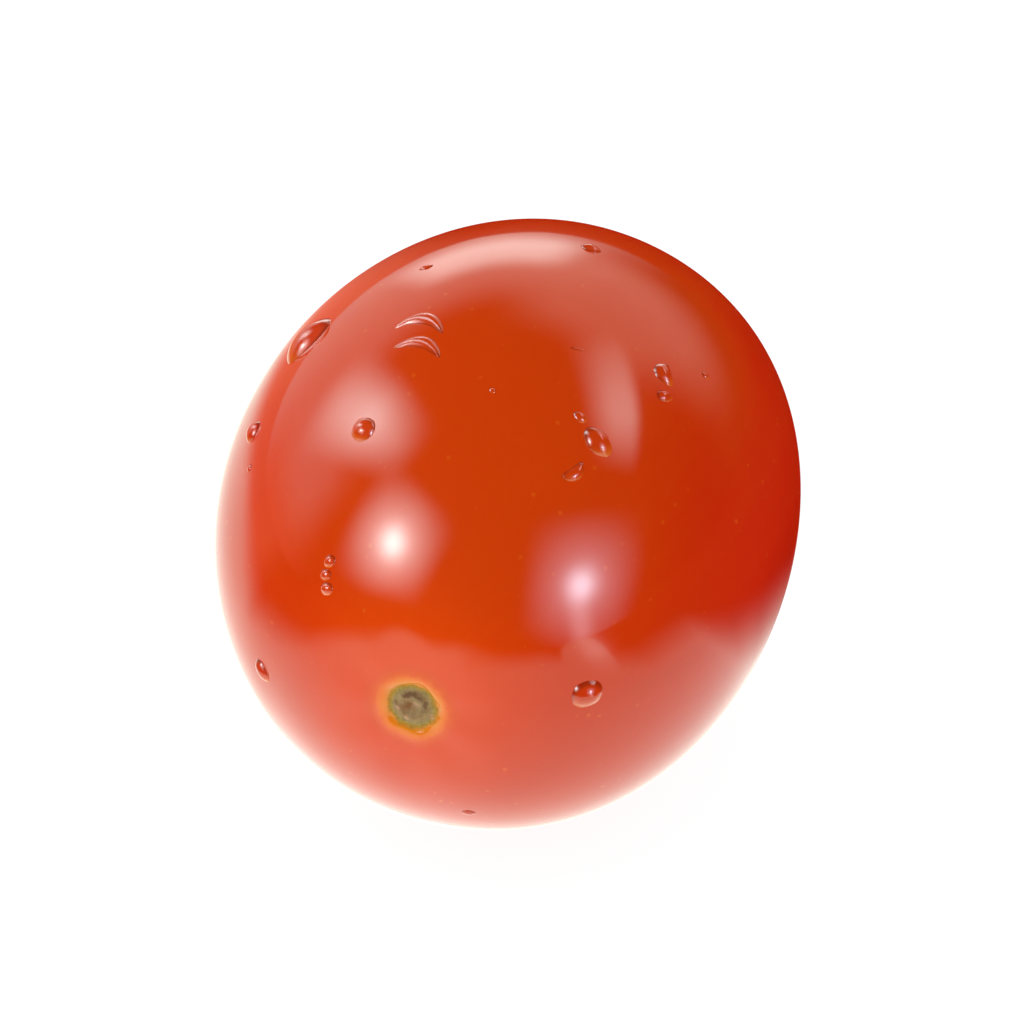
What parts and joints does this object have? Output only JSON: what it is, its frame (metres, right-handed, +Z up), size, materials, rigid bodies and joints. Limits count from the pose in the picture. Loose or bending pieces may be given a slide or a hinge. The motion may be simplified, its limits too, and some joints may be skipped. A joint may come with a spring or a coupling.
{
  "type": "grape tomato",
  "caption": "Whole ripe red grape tomato with its stem scar and blossom tip, lying on its side: an oblong small fruit to set out, pile up or slice.",
  "frame": {"origin": "bottom centre of the fruit's box, on the surface that it lies on", "axes": "+Z up; the fruit's long axis lies along Y, with the stem scar towards -Y and the blossom tip towards +Y; X is across"},
  "size_m": [0.0254, 0.0322, 0.0247],
  "materials": {
    "tomato_skin": "smooth waxy skin, glossy over moist flesh"
  },
  "bodies": {
    "root": {"fruit": "tomato_skin"}
  },
  "joints": []
}
